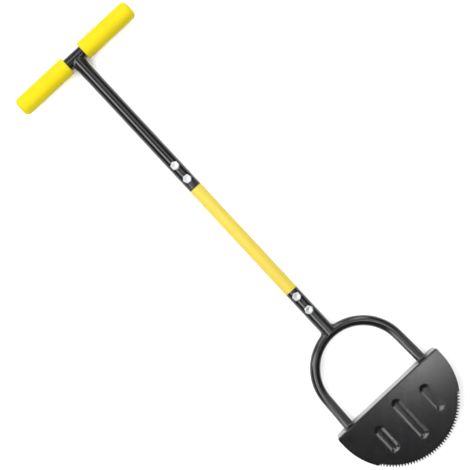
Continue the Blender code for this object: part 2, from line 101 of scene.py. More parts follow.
# Small details that no setting changes
SMALL_ROUND = 0.4 * MM
FOLD_MARGIN = 0.6 * MM
RIB_MARGIN = 0.8 * MM
RIB_MIDDLE_SHARE = 0.45
TIP_SHARE = 0.08
GULLET_SHARE = 0.13
CHAMFER_START = 0.97
CHAMFER_ANGLE = math.radians(30)
EDGE_BREAK = 0.3 * MM
EDGE_FACET = 0.1 * MM
DISH_LIP = 0.5 * MM
THREADED_LENGTH = 9 * MM
THREAD_DEPTH = 0.7 * MM
PLAIN_TIP = 0.8 * MM
TIP_TAPER = 0.9 * MM
WASHER_PLAY = 0.3 * MM
NUT_PLAY = 0.15 * MM
NUT_MOUTH = 0.8 * MM
HEAD_TURNS = (0.0, 17.0, 4.0, 30.0)
NUT_TURNS = (30.0, 4.0, 17.0, 0.0)

# The studio's room and the places of its lamps, in metres from the middle of the view
FLOOR_HALF = 10.5
BACKDROP_RADIUS = 10.0
BACKDROP_HEIGHT = 8.0
LAMP_DISTANCE = 2.2
BLADE_LAMP_HEIGHT = 2.0
BLADE_LAMP_SPIN = -0.555
RIB_STATION = 0.45

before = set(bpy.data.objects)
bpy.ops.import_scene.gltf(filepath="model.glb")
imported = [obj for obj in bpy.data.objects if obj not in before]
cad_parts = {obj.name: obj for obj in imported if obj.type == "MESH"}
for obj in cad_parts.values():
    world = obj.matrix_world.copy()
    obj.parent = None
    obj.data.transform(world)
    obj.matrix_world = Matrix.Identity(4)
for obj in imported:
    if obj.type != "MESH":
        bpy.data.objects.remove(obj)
CAD_BOX = [list(corner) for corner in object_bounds()]

# The crossbar's centre, from which every station and height is counted
CROSSBAR_LOW, CROSSBAR_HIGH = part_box("crossbar")
TOOL_ORIGIN = (CROSSBAR_LOW + CROSSBAR_HIGH) / 2
FLOOR_HEIGHT = CAD_BOX[0][2]


def reach(node):
    """Lowest and highest corner of a CAD node, seen from the tool's origin."""
    low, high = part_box(node)
    return low - TOOL_ORIGIN, high - TOOL_ORIGIN


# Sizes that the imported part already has
CROSSBAR_RADIUS = reach("crossbar")[1].z
CROSSBAR_END = reach("crossbar")[1].y
GRIP_MOUTH = reach("grip_right")[0].y
GRIP_END = reach("grip_right")[1].y
GRIP_RADIUS = reach("grip_right")[1].z
SHAFT_RADIUS = reach("middle_tube")[1].z
UPPER_RIM = reach("upper_tube")[1].x
SPIGOT_START = reach("middle_tube")[0].x
SPIGOT_END = reach("middle_tube")[1].x
LOWER_RIM = reach("socket_tube")[0].x
BLADE_LOW, BLADE_HIGH = reach("blade")
BLADE_RADIUS = BLADE_HIGH.y
BLADE_CENTRE = BLADE_HIGH.x - BLADE_RADIUS
STEP_TOP = BLADE_LOW.x
STEP_REAR = BLADE_LOW.z
BLADE_FACE = BLADE_HIGH.z
BOLT_STATIONS = [sum(corner.x for corner in reach(f"bolt_{i}")) / 2 for i in range(1, 5)]
BOLT_TOP = reach("bolt_1")[1].z
BOLT_TIP = reach("bolt_1")[0].z
WASHER_LOW, WASHER_HIGH = reach("washer_1")
NUT_LOW, NUT_HIGH = reach("nut_1")

ALONG_X = Matrix.Rotation(math.pi / 2, 4, "Y")
ALONG_Y = Matrix.Rotation(-math.pi / 2, 4, "X")
AGAINST_Y = Matrix.Rotation(math.pi / 2, 4, "X")


# Settings a user would change


def length(name, description, default, least=0.0):
    """A length setting, typed in metres."""
    return bpy.props.FloatProperty(
        name=name, description=description, default=default, min=least, subtype="DISTANCE", unit="LENGTH"
    )


def turning(name, description, degrees):
    """An angle setting, given here in degrees."""
    start = math.radians(degrees)
    return bpy.props.FloatProperty(
        name=name, description=description, default=start, subtype="ANGLE", unit="ROTATION"
    )


def colour(name, description, default):
    """A colour setting."""
    return bpy.props.FloatVectorProperty(
        name=name, description=description, default=default, size=3, min=0.0, max=1.0, subtype="COLOR"
    )


def share(name, description, default):
    """A setting from 0 to 1."""
    return bpy.props.FloatProperty(
        name=name, description=description, default=default, min=0.0, max=1.0, subtype="FACTOR"
    )


def amount(name, description, default):
    """A plain positive number."""
    return bpy.props.FloatProperty(name=name, description=description, default=default, min=0.0)


class HandleSettings(bpy.types.PropertyGroup):
    """Sizes of the crossbar and its two grips"""

    crossbar_wall: length("Crossbar wall", "Wall of the crossbar's tube", 1.5 * MM)
    grip_end_round: length("Grip end round", "Rounding of a grip's closed end", 8.5 * MM)
    grip_mouth_round: length("Grip mouth round", "Rounding of a grip's open end", 2.4 * MM)
    grip_end_wall: length("Grip end wall", "Foam beyond the crossbar's end", 5.5 * MM)
    fit_gap: length("Fit gap", "Gap between the pieces that touch", 0.3 * MM)


class ShaftSettings(bpy.types.PropertyGroup):
    """Sizes of the three shaft tubes and of their welds"""

    tube_wall: length("Tube wall", "Wall of the shaft's tubes", 1.5 * MM)
    rim_round: length("Rim round", "Rounding of a tube's cut rim", 0.5 * MM)
    handle_weld: length("Handle weld", "Length of the weld's legs at the crossbar", 2.6 * MM)
    crown_weld: length("Crown weld", "Length of the weld's legs at the bail's crown", 4.2 * MM)
    ripple_pitch: length("Ripple pitch", "Distance between the ripples of a weld", 2.3 * MM)
    ripple_depth: share("Ripple depth", "Height of the ripples, as a share of the weld's legs", 0.07)


class BailSettings(bpy.types.PropertyGroup):
    """Sizes of the bent bail between shaft and blade"""

    tube_radius: length("Tube radius", "Outer radius of the bail's tube", 9.5 * MM)
    tube_wall: length("Tube wall", "Wall of the bail's tube", 1.8 * MM)
    arch_radius: length("Arch radius", "Radius of the arch's centreline", 87.0 * MM)
    crown_station: length("Crown station", "Centreline of the crown, from the crossbar", 678.0 * MM)
    leg_splay: turning("Leg splay", "Angle by which each leg leans outwards", 2.2)
    foot_weld: length("Foot weld", "Length of the weld's legs round each foot", 3.4 * MM)


class BladeSettings(bpy.types.PropertyGroup):
    """Sizes of the pressed and folded half-moon blade"""

    sheet: length("Sheet", "Thickness of the steel sheet", 2.5 * MM)
    bend_radius: length("Bend radius", "Outer radius of the fold", 3.6 * MM)
    step_inset: length("Step inset", "How much narrower the step is on each side", 2.0 * MM)
    step_corner: length("Step corner", "Rounding of the step's rear corners", 12.0 * MM)
    edge_round: length("Edge round", "Rounding of the sheet's cut edges", 0.3 * MM)
    teeth: bpy.props.IntProperty(name="Teeth", description="Number of saw teeth", default=41, min=1)
    tooth_depth: length("Tooth depth", "Depth of a saw tooth", 4.5 * MM)
    toothed_arc: turning("Toothed arc", "Angle of the edge that carries teeth", 109.0)
    rib_width: length("Rib width", "Width of a pressed rib at the surface", 20.0 * MM)
    rib_floor: length("Rib floor", "Width of a rib's flat floor", 8.0 * MM)
    rib_depth: length("Rib depth", "Depth of a pressed rib", 3.4 * MM)
    rib_ease: share("Rib ease", "Share of a rib's wall that is rounded at its rim and at its floor", 0.16)
    side_rib_offset: length("Side rib offset", "Distance of the side ribs from the middle", 55.0 * MM)
    side_rib_start: length("Side rib start", "Start of the side ribs below the blade's centre", 15.0 * MM)
    side_rib_length: length("Side rib length", "Length of a side rib", 58.5 * MM)
    middle_rib_start: length("Middle rib start", "The middle rib's start below that centre", 0.5 * MM)
    middle_rib_length: length("Middle rib length", "Length of the middle rib", 90.0 * MM)


class FastenerSettings(bpy.types.PropertyGroup):
    """Sizes of the bolts, washers and nuts"""

    across_flats: length("Across flats", "Width of a hexagon head or nut", 14.3 * MM)
    head_height: length("Head height", "Height of a bolt's head", 6.0 * MM)
    dish_radius: length("Dish radius", "Radius of the dish in a bolt's head", 4.3 * MM)
    dish_depth: length("Dish depth", "Depth of that dish", 0.9 * MM)
    shank_radius: length("Shank radius", "Radius of a bolt's shank", 4.75 * MM)
    thread_pitch: length("Thread pitch", "Distance between the threads", 1.5 * MM)


class FinishSettings(bpy.types.PropertyGroup):
    """Colours and gloss of the four finishes"""

    black: colour("Black powder coat", "Colour of the black paint", (0.0055, 0.0055, 0.006))
    black_roughness: share("Black roughness", "Roughness of the black paint", 0.16)
    black_shine: share("Black shine", "Strength of the black paint's reflections", 0.5)
    yellow: colour("Yellow powder coat", "Colour of the middle tube's paint", (0.458, 0.354, 0.041))
    yellow_roughness: share("Yellow roughness", "Roughness of the yellow paint", 0.45)
    foam: colour("Grip foam", "Colour of the grips' foam", (0.455, 0.365, 0.003))
    foam_roughness: share("Foam roughness", "Roughness of the foam's skin", 0.62)
    zinc: colour("Zinc plate", "Colour of the plated fasteners", (0.53, 0.533, 0.536))
    zinc_roughness: share("Zinc roughness", "Roughness of the plated fasteners", 0.47)


class StudioSettings(bpy.types.PropertyGroup):
    """Floor, light and camera"""

    floor: colour("Floor", "Colour of the plain floor", (0.92, 0.92, 0.92))
    surround: amount("Surround", "Strength of the pale light from all round", 0.07)
    near_light: amount("Near light", "Brightness of the long light on the left grip's side", 6.3)
    far_light: amount("Far light", "Brightness of the long light on the right grip's side", 2.1)
    bail_light: amount("Bail light", "Brightness of the light on the left of the bail", 12.0)
    blade_light: amount("Blade light", "Brightness of the lights that shine in the blade's face", 13.2)
    rib_light: amount("Rib light", "Brightness of the low lights that draw the ribs' walls", 22.0)
    head_light: amount("Head light", "Brightness of the light above the handle", 3.6)
    fill_light: amount("Fill light", "Brightness of the even fill, which makes no glint", 0.58)
    backdrop: amount("Backdrop", "Brightness of the pale wall behind the floor", 0.75)
    camera_height: length("Camera height", "Height of the camera above the shaft", 2.7)
    view_width: length("View width", "Width that the camera sees at the shaft", 850.3 * MM)
    view_station: length("View station", "Station along the shaft under the camera", 430.6 * MM)
    view_across: length("View across", "Place across the tool under the camera", -5.8 * MM, -1.0)
    view_roll: turning("View roll", "Turn of the picture against the shaft", 47.1)


# Shapes


def arc(centre, radius, start, end, steps):
    """Points along a circle in a plane, both ends included."""
    turn = (end - start) / steps
    angles = [start + turn * i for i in range(steps + 1)]
    return [(centre[0] + radius * math.cos(a), centre[1] + radius * math.sin(a)) for a in angles]


def circle(radius, steps):
    """Points round a whole circle."""
    return arc((0.0, 0.0), radius, 0.0, 2 * math.pi, steps)[:-1]


def softened(points, radius, steps=4, closed=False):
    """A drawn line whose corners are rounded, each by no more than its two sides allow."""
    points = [Vector(point) for point in points]
    result = []
    for i, corner in enumerate(points):
        if not closed and i in (0, len(points) - 1):
            result.append(tuple(corner))
            continue
        back = points[i - 1] - corner
        ahead = points[(i + 1) % len(points)] - corner
        cut = min(radius, 0.45 * back.length, 0.45 * ahead.length)
        first = corner + back.normalized() * cut
        last = corner + ahead.normalized() * cut
        for step in range(steps + 1):
            t = step / steps
            result.append(tuple(first * (1 - t) ** 2 + corner * 2 * t * (1 - t) + last * t**2))
    return result


def add_skin(body, rings, looped=False):
    """Faces between rings of points; a ring of a single point closes an end."""
    loops = [[body.verts.new(point) for point in ring] for ring in rings]
    pairs = list(zip(loops, loops[1:]))
    if looped:
        pairs.append((loops[-1], loops[0]))
    for first, second in pairs:
        for i in range(max(len(first), len(second))):
            corners = [
                first[i % len(first)],
                first[(i + 1) % len(first)],
                second[(i + 1) % len(second)],
                second[i % len(second)],
            ]
            corners = list(dict.fromkeys(corners))
            if len(corners) > 2:
                body.faces.new(corners)


def new_body(rings, looped=False):
    """A mesh in the making, with its first skin."""
    body = bmesh.new()
    add_skin(body, rings, looped)
    return body


def turned_rings(profile, steps=TURNED_SIDES, turn=Matrix.Identity(4)):
    """Rings of a turned shape from its radius and height points, about Z and then turned."""
    rings = []
    for radius, height in profile:
        if radius < 1e-7:
            rings.append([turn @ Vector((0.0, 0.0, height))])
            continue
        rings.append([turn @ Vector((x, y, height)) for x, y in circle(radius, steps)])
    return rings


def swept_rings(path, radius, sides):
    """Rings of a round bar along a path that lies flat."""
    rings = []
    up = Vector((0.0, 0.0, 1.0))
    for before, point, after in zip([path[0], *path], path, [*path[1:], path[-1]]):
        side = (after - before).normalized().cross(up)
        rings.append([point + side * x + up * y for x, y in circle(radius, sides)])
    return rings


def shaft_ring(radius, station_at, steps=TUBE_SIDES):
    """A ring round the shaft; its station is asked for each place across and up."""
    return [Vector((station_at(y, z), y, z)) for y, z in circle(radius, steps)]


def straight_tube(profile):
    """Rings of a stretch of shaft tube, from its radius and station points."""
    return [shaft_ring(radius, lambda y, z: station) for radius, station in profile]


def cut_rim(bore, station, inward, rim):
    """Radius and station points over the cut rim of a shaft tube, from its bore outwards."""
    return [
        (bore, station + inward * rim),
        (bore + rim, station),
        (SHAFT_RADIUS - rim, station),
        (SHAFT_RADIUS - 0.3 * rim, station + inward * 0.3 * rim),
        (SHAFT_RADIUS, station + inward * rim),
    ]


def placed(name, data):
    """A new object in the scene for a mesh, a lamp or a camera."""
    item = bpy.data.objects.new(name, data)
    bpy.context.scene.collection.objects.link(item)
    return item


def placed_mesh(name, body):
    """A new object in the scene from a mesh in the making."""
    mesh = bpy.data.meshes.new(name)
    body.to_mesh(mesh)
    body.free()
    return placed(name, mesh)


def finished_piece(name, body, slot, *nodes, sharp=35.0):
    """Turns a mesh in the tool's directions into a piece that stands for its CAD nodes."""
    bmesh.ops.recalc_face_normals(body, faces=body.faces)
    piece = placed_mesh(name, body)
    piece.location = TOOL_ORIGIN
    piece.data.shade_smooth()
    piece.data.set_sharp_from_angle(angle=math.radians(sharp))
    piece.data.materials.append(finish(slot))
    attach(piece, "root")
    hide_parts(*nodes)
    return piece


def weld_rings(corners, tube_radius, leg, settle, shaft):
    """Rings of a hollow fillet weld round a tube along X, down onto the surface it meets.

    corners go round the tube where it meets that surface, seen from the tube's own axis, and
    leg is the weld's signed length along the tube. settle carries a point onto the surface.
    """
    around = sum((a - b).length for a, b in zip(corners, [corners[-1], *corners[:-1]]))
    ripples = max(round(around / shaft.ripple_pitch), 8)
    rings = [[] for _ in range(WELD_STEPS + 3)]
    for i, corner in enumerate(corners):
        radial = Vector((0.0, corner.y, corner.z)).normalized()
        wall = Vector((corner.x, 0.0, 0.0)) + radial * tube_radius
        back = Vector((leg, 0.0, 0.0))
        start = wall + back
        end = settle(wall + radial * abs(leg) + back * WELD_TOE)
        middle = wall * WELD_HOLLOW + (start + end) * (1 - WELD_HOLLOW) / 2
        lean = (i * ripples / len(corners)) % 1.0
        rise = shaft.ripple_depth * abs(leg) * math.sin(math.pi * lean)
        outward = (radial + back.normalized()).normalized()
        rings[0].append(start - radial * MM)
        for step in range(WELD_STEPS + 1):
            t = step / WELD_STEPS
            point = start * (1 - t) ** 2 + middle * 2 * t * (1 - t) + end * t**2
            rings[step + 1].append(point + outward * rise * math.sin(math.pi * t))
        rings[-1].append(end - outward * MM)
    return rings


# Finishes


class Shade:
    """A shader value that plain arithmetic turns into Math nodes."""

    def __init__(self, mixer, socket):
        self.mixer = mixer
        self.socket = socket

    def math(self, operation, first, second):
        return self.mixer.node("ShaderNodeMath", {"operation": operation}, {0: first, 1: second})

    def __add__(self, other):
        return self.math("ADD", self, other)

    def __radd__(self, other):
        return self.math("ADD", other, self)

    def __sub__(self, other):
        return self.math("SUBTRACT", self, other)

    def __rsub__(self, other):
        return self.math("SUBTRACT", other, self)

    def __mul__(self, other):
        return self.math("MULTIPLY", self, other)

    def __rmul__(self, other):
        return self.math("MULTIPLY", other, self)


class Mixer:
    """A new finish and the nodes that make it."""

    def __init__(self, name):
        self.material = bpy.data.materials.new(name)
        self.material.use_nodes = True
        self.tree = self.material.node_tree
        self.shader = self.tree.nodes["Principled BSDF"]

    def feed(self, socket, value):
        if isinstance(value, Shade):
            self.tree.links.new(value.socket, socket)
        else:
            socket.default_value = value

    def node(self, kind, settings, sockets, output=0):
        """A node of a type, its settings first, then the values or links of its sockets."""
        node = self.tree.nodes.new(kind)
        for key, value in settings.items():
            setattr(node, key, value)
        for key, value in sockets.items():
            self.feed(node.inputs[key], value)
        return Shade(self, node.outputs[output])

    def place(self):
        """Place on the piece in metres, from the tool's origin."""
        return self.node("ShaderNodeTexCoord", {}, {}, "Object")

    def noise(self, scale, detail=2.0, roughness=0.5, distortion=0.0):
        sockets = {
            "Vector": self.place(),
            "Scale": scale,
            "Detail": detail,
            "Roughness": roughness,
            "Distortion": distortion,
        }
        return self.node("ShaderNodeTexNoise", {}, sockets, "Fac")

    def between(self, value, low, high, least=0.0, most=1.0):
        """The value carried from one range to another, held within it."""
        sockets = {"Value": value, "From Min": low, "From Max": high, "To Min": least, "To Max": most}
        return self.node("ShaderNodeMapRange", {"clamp": True}, sockets)

    def blend(self, mask, first, second):
        """Two colours mixed by a mask; the numbers are those of the node's colour sockets."""
        return self.node("ShaderNodeMix", {"data_type": "RGBA"}, {0: mask, 6: first, 7: second}, 2)

    def relief(self, height, depth, below=None):
        """A bump of a real depth in metres, laid over another one."""
        sockets = {"Height": height, "Distance": depth, "Strength": 1.0}
        if below is not None:
            sockets["Normal"] = below
        return self.node("ShaderNodeBump", {}, sockets)

    def paint(self, **sockets):
        """Sets or links the shader's own sockets, whose names are written with underscores."""
        for name, value in sockets.items():
            self.feed(self.shader.inputs[name.replace("_", " ")], value)
        return self.material


def tinted(rgb, factor):
    """A colour made lighter or darker."""
    return (*[min(channel * factor, 1.0) for channel in rgb], 1.0)


def mix_powder_coat(name, rgb, roughness, shine, swing):
    """Baked powder paint: a fine orange skin, tiny specks and slightly uneven gloss."""
    mixer = Mixer(name)
    cloud = mixer.noise(14.0, 3.0)
    speck = mixer.between(mixer.noise(2600.0, 1.0), 0.62, 0.74)
    tone = mixer.blend(cloud, tinted(rgb, 1 - swing), tinted(rgb, 1 + swing))
    tone = mixer.blend(speck * 0.35, tone, tinted(rgb, 1 + 2.5 * swing))
    gloss = mixer.between(mixer.noise(45.0, 3.0), 0.3, 0.7, roughness - 0.01, roughness + 0.015)
    skin = mixer.relief(mixer.noise(420.0, 2.0, 0.55), 0.02 * MM)
    skin = mixer.relief(mixer.noise(1500.0, 1.0), 0.012 * MM, skin)
    return mixer.paint(
        Base_Color=tone, Roughness=gloss + speck * 0.08, Specular_IOR_Level=shine, Normal=skin
    )


def mix_foam(name, rgb, roughness):
    """Closed-cell foam: a dense skin of tiny cells over faint swellings, with painted shade darkening the
    pores.
    """
    mixer = Mixer(name)
    cells = mixer.node("ShaderNodeTexVoronoi", {}, {"Vector": mixer.place(), "Scale": 1500.0}, "Distance")
    pores = mixer.between(mixer.noise(1900.0, 2.0, 0.6), 0.6, 0.75)
    cloud = mixer.noise(30.0, 3.0)
    tone = mixer.blend(cloud, tinted(rgb, 0.95), tinted(rgb, 1.04))
    # Painted shade: the base colour is darkened where the pores are pressed in by the bump below
    tone = mixer.blend(pores * 0.45, tone, (rgb[0] * 0.7, rgb[1] * 0.62, rgb[2] * 0.5, 1.0))
    skin = mixer.relief(cells - pores * 0.8, 0.07 * MM)
    skin = mixer.relief(mixer.noise(120.0, 2.0), 0.12 * MM, skin)
    gloss = mixer.between(cloud, 0.3, 0.7, roughness - 0.04, roughness + 0.05)
    return mixer.paint(Base_Color=tone, Roughness=gloss, Normal=skin, Specular_IOR_Level=0.12)


def mix_zinc(name, rgb, roughness):
    """Bright zinc plate: cloudy bluish patches, a fine grain and a few dull scuffs."""
    mixer = Mixer(name)
    cloud = mixer.noise(260.0, 3.0, 0.6)
    scuff = mixer.between(mixer.noise(900.0, 4.0, 0.7, 1.2), 0.56, 0.7)
    cool = (rgb[0] * 0.9, rgb[1] * 0.93, rgb[2] * 0.97, 1.0)
    tone = mixer.blend(cloud, tinted(rgb, 1.0), cool)
    tone = mixer.blend(scuff * 0.4, tone, tinted(rgb, 0.72))
    skin = mixer.relief(mixer.noise(1800.0, 2.0), 0.01 * MM)
    gloss = mixer.between(cloud, 0.3, 0.7, roughness - 0.05, roughness + 0.08)
    return mixer.paint(Base_Color=tone, Roughness=gloss + scuff * 0.15, Metallic=1.0, Normal=skin)


def finish(slot):
    """The finish of one of the record's material slots, mixed when first asked for."""
    name = f"finish_{slot}"
    if name in bpy.data.materials:
        return bpy.data.materials[name]
    settings = bpy.context.scene.edger_finish
    if slot == "black_powder_coat":
        gloss, shine = settings.black_roughness, settings.black_shine
        return mix_powder_coat(name, settings.black, gloss, shine, swing=0.12)
    if slot == "yellow_powder_coat":
        return mix_powder_coat(name, settings.yellow, settings.yellow_roughness, shine=0.3, swing=0.03)
    if slot == "yellow_grip_foam":
        return mix_foam(name, settings.foam, settings.foam_roughness)
    return mix_zinc(name, settings.zinc, settings.zinc_roughness)


# Pieces


class EDGER_OT_crossbar(bpy.types.Operator):
    """Makes the painted tube of the handle"""

    bl_idname = "edger.crossbar"
    bl_label = "Crossbar"

    def execute(self, context):
        settings = context.scene.edger_handle
        bore = CROSSBAR_RADIUS - settings.crossbar_wall
        profile = [
            (CROSSBAR_RADIUS, CROSSBAR_END),
            (CROSSBAR_RADIUS, -CROSSBAR_END),
            (bore, -CROSSBAR_END),
            (bore, CROSSBAR_END),
        ]
        rings = turned_rings(softened(profile, SMALL_ROUND, closed=True), turn=ALONG_Y)
        finished_piece("painted_crossbar", new_body(rings, looped=True), "black_powder_coat", "crossbar")
        return {"FINISHED"}


class EDGER_OT_grips(bpy.types.Operator):
    """Makes the two foam grips with closed, rounded ends"""

    bl_idname = "edger.grips"
    bl_label = "Grips"

    def execute(self, context):
        settings = context.scene.edger_handle
        bore = CROSSBAR_RADIUS + settings.fit_gap
        round_end = settings.grip_end_round
        mouth = settings.grip_mouth_round
        blind = GRIP_END - settings.grip_end_wall
        profile = [(0.0, GRIP_END), (GRIP_RADIUS - 2 * round_end, GRIP_END)]
        round_centre = (GRIP_RADIUS - round_end, GRIP_END - round_end)
        profile += arc(round_centre, round_end, math.pi / 2, 0.0, GRIP_END_STEPS)
        mouth_centre = (GRIP_RADIUS - mouth, GRIP_MOUTH + mouth)
        profile += arc(mouth_centre, mouth, 0.0, -math.pi / 2, GRIP_MOUTH_STEPS)
        profile += [(bore + SMALL_ROUND, GRIP_MOUTH), (bore, GRIP_MOUTH + SMALL_ROUND)]
        profile += [(bore, blind), (0.0, blind)]
        for name, turn in (("left", AGAINST_Y), ("right", ALONG_Y)):
            body = new_body(turned_rings(profile, TUBE_SIDES, turn))
            piece = finished_piece(f"foam_grip_{name}", body, "yellow_grip_foam", f"grip_{name}")
        return {"FINISHED"}


class EDGER_OT_upper_tube(bpy.types.Operator):
    """Makes the painted top tube, coped to the crossbar, with its weld bead"""

    bl_idname = "edger.upper_tube"
    bl_label = "Upper tube"

    def execute(self, context):
        settings = context.scene.edger_shaft
        bore = SHAFT_RADIUS - settings.tube_wall
        clear = CROSSBAR_RADIUS + context.scene.edger_handle.fit_gap

        def saddle(y, z):
            return math.sqrt(max(clear**2 - z**2, (COPE_LEAST * clear) ** 2))

        def on_crossbar(point):
            flat = Vector((point.x, 0.0, point.z)).normalized() * CROSSBAR_RADIUS
            return Vector((flat.x, point.y, flat.z))

        def seam(y, z):
            return math.hypot(y, HANDLE_SEAM_LEAST * SHAFT_RADIUS)

        rings = straight_tube([(bore, UPPER_RIM - UPPER_RIM_TO_BORE_RING)])
        rings += straight_tube(cut_rim(bore, UPPER_RIM, -1, settings.rim_round))
        rings += straight_tube([(SHAFT_RADIUS, station) for station in UPPER_WALL_STATIONS])
        rings += [shaft_ring(SHAFT_RADIUS, saddle), shaft_ring(bore, saddle)]
        rings += straight_tube([(bore, UPPER_BORE_STATION)])
        body = new_body(rings, looped=True)
        corners = shaft_ring(SHAFT_RADIUS, seam, WELD_SIDES)
        rings = weld_rings(corners, SHAFT_RADIUS, settings.handle_weld, on_crossbar, settings)
        add_skin(body, rings, looped=True)
        finished_piece("painted_upper_tube", body, "black_powder_coat", "upper_tube")
        return {"FINISHED"}


class EDGER_OT_middle_tube(bpy.types.Operator):
    """Makes the yellow middle tube with its necked ends"""

    bl_idname = "edger.middle_tube"
    bl_label = "Middle tube"

    def execute(self, context):
        settings = context.scene.edger_shaft
        gap = context.scene.edger_handle.fit_gap
        spigot = SHAFT_RADIUS - settings.tube_wall - gap
        bore = spigot - settings.tube_wall
        profile = [
            (spigot, SPIGOT_END),
            (spigot, LOWER_RIM - gap),
            (SHAFT_RADIUS, LOWER_RIM - gap),
            (SHAFT_RADIUS, UPPER_RIM + gap),
            (spigot, UPPER_RIM + gap),
            (spigot, SPIGOT_START),
            (bore, SPIGOT_START),
            (bore, SPIGOT_END),
        ]
        rings = turned_rings(softened(profile, settings.rim_round, closed=True), TUBE_SIDES, ALONG_X)
        body = new_body(rings, looped=True)
        finished_piece("painted_middle_tube", body, "yellow_powder_coat", "middle_tube")
        return {"FINISHED"}


class EDGER_OT_socket_tube(bpy.types.Operator):
    """Makes the painted lower socket, closed over the bail's crown by a weld bead"""

    bl_idname = "edger.socket_tube"
    bl_label = "Socket tube"

    def execute(self, context):
        settings = context.scene.edger_shaft
        bail = context.scene.edger_bail
        bore = SHAFT_RADIUS - settings.tube_wall

        def over_crown(radius, least):
            """A rule for the station at which the shaft's wall meets a round crown."""

            def station(y, z):
                sag = bail.arch_radius - math.sqrt(bail.arch_radius**2 - y**2)
                return bail.crown_station + sag - math.sqrt(max(radius**2 - z**2, least**2))

            return station

        def on_crown(point):
            centre = Vector((bail.crown_station + bail.arch_radius, 0.0, 0.0))
            flat = Vector((point.x, point.y, 0.0)) - centre
            spine = centre + flat.normalized() * bail.arch_radius
            return spine + (point - spine).normalized() * bail.tube_radius

        rings = straight_tube([(bore, LOWER_RIM + SOCKET_RIM_TO_BORE_RING)])
        rings += straight_tube(cut_rim(bore, LOWER_RIM, 1, settings.rim_round))
        stations = (LOWER_RIM + SOCKET_RIM_TO_WALL_RING, bail.crown_station - WALL_RING_TO_CROWN)
        rings += straight_tube([(SHAFT_RADIUS, station) for station in stations])
        saddle = over_crown(bail.tube_radius + context.scene.edger_handle.fit_gap, 0.0)
        rings += [shaft_ring(SHAFT_RADIUS, saddle), shaft_ring(bore, saddle)]
        body = new_body(rings, looped=True)
        seam = over_crown(bail.tube_radius, CROWN_SEAM_LEAST * bail.tube_radius)
        corners = shaft_ring(SHAFT_RADIUS, seam, WELD_SIDES)
        rings = weld_rings(corners, SHAFT_RADIUS, -settings.crown_weld, on_crown, settings)
        add_skin(body, rings, looped=True)
        finished_piece("painted_socket_tube", body, "black_powder_coat", "socket_tube")
        return {"FINISHED"}


class EDGER_OT_bail(bpy.types.Operator):
    """Makes the bent bail whose feet are welded to the step"""

    bl_idname = "edger.bail"
    bl_label = "Bail"

    def execute(self, context):
        settings = context.scene.edger_bail
        shaft = context.scene.edger_shaft
        radius = settings.tube_radius
        splay = settings.leg_splay
        centre = settings.crown_station + settings.arch_radius
        half = math.pi / 2 - splay
        foot_station = STEP_TOP - context.scene.edger_handle.fit_gap
        outline = arc((0.0, 0.0), settings.arch_radius, -half, half, ARCH_STEPS)
        path = [Vector((centre - x, y, 0.0)) for x, y in outline]
        leg = (foot_station - path[0].x) / math.cos(splay)
        feet = []
        for end, side in ((0, -1), (-1, 1)):
            lean = Vector((math.cos(splay), side * math.sin(splay), 0.0))
            leg_points = [path[end] + lean * leg * i / LEG_STEPS for i in range(1, LEG_STEPS + 1)]
            feet.append(leg_points[-1])
            path = leg_points[::-1] + path if side < 0 else path + leg_points
        rings = swept_rings(path, radius, BAIL_SIDES)

        def on_step(point):
            return Vector((foot_station, point.y, point.z))

        def foot_rings(ring):
            """A foot's middle, a ring inside its rim and the rim itself, all on the step."""
            rim = [on_step(point) for point in ring]
            middle = sum(rim, Vector()) / len(rim)
            narrow = (radius - settings.tube_wall) / radius
            return [[middle], [middle + (point - middle) * narrow for point in rim], rim]

        body = new_body([*foot_rings(rings[0]), *rings[1:-1], *foot_rings(rings[-1])[::-1]])
        for foot in feet:
            corners = shaft_ring(radius, lambda y, z: foot_station, FOOT_WELD_SIDES)
            rings = weld_rings(corners, radius, -settings.foot_weld, on_step, shaft)
            move = Vector((0.0, foot.y, 0.0))
            add_skin(body, [[point + move for point in ring] for ring in rings], looped=True)
        finished_piece("painted_bail", body, "black_powder_coat", "bail")
        return {"FINISHED"}


class EDGER_OT_blade(bpy.types.Operator):
    """Makes the pressed half-moon blade with its saw teeth, ribs and folded foot step"""

    bl_idname = "edger.blade"
    bl_label = "Blade"

    def execute(self, context):
        settings = context.scene.edger_blade
        outline = blade_outline(settings)
        points = [Vector(p) for p in outline]
        edges = [(i, (i + 1) % len(points)) for i in range(len(points))]
        for row in bend_rows(settings):
            half = half_width(row, settings)
            first = len(points)
            points += [Vector((row, half * (2 * i / ROW_PIECES - 1))) for i in range(ROW_PIECES + 1)]
            edges += [(first + i, first + i + 1) for i in range(ROW_PIECES)]
        ribs = rib_places(settings)
        for rib in ribs:
            for ring in rib_rows(rib, settings):
                first = len(points)
                points += [Vector(p) for p in ring]
                edges += [(first + i, first + (i + 1) % len(ring)) for i in range(len(ring))]
        flat, _, faces, *_ = delaunay_2d_cdt(points, edges, [], 1, 1e-6)
        body = bmesh.new()
        verts = [body.verts.new(folded(p, ribs, settings)) for p in flat]
        for face in faces:
            body.faces.new([verts[i] for i in face])
        bmesh.ops.delete(body, geom=[v for v in body.verts if not v.link_faces], context="VERTS")
        bmesh.ops.recalc_face_normals(body, faces=body.faces)
        body.normal_update()
        if max(body.faces, key=lambda face: face.calc_area()).normal.z < 0:
            bmesh.ops.reverse_faces(body, faces=body.faces)
        sheet = thickened(body, settings)
        finished_piece("painted_blade", sheet, "black_powder_coat", "blade", sharp=20.0)
        return {"FINISHED"}


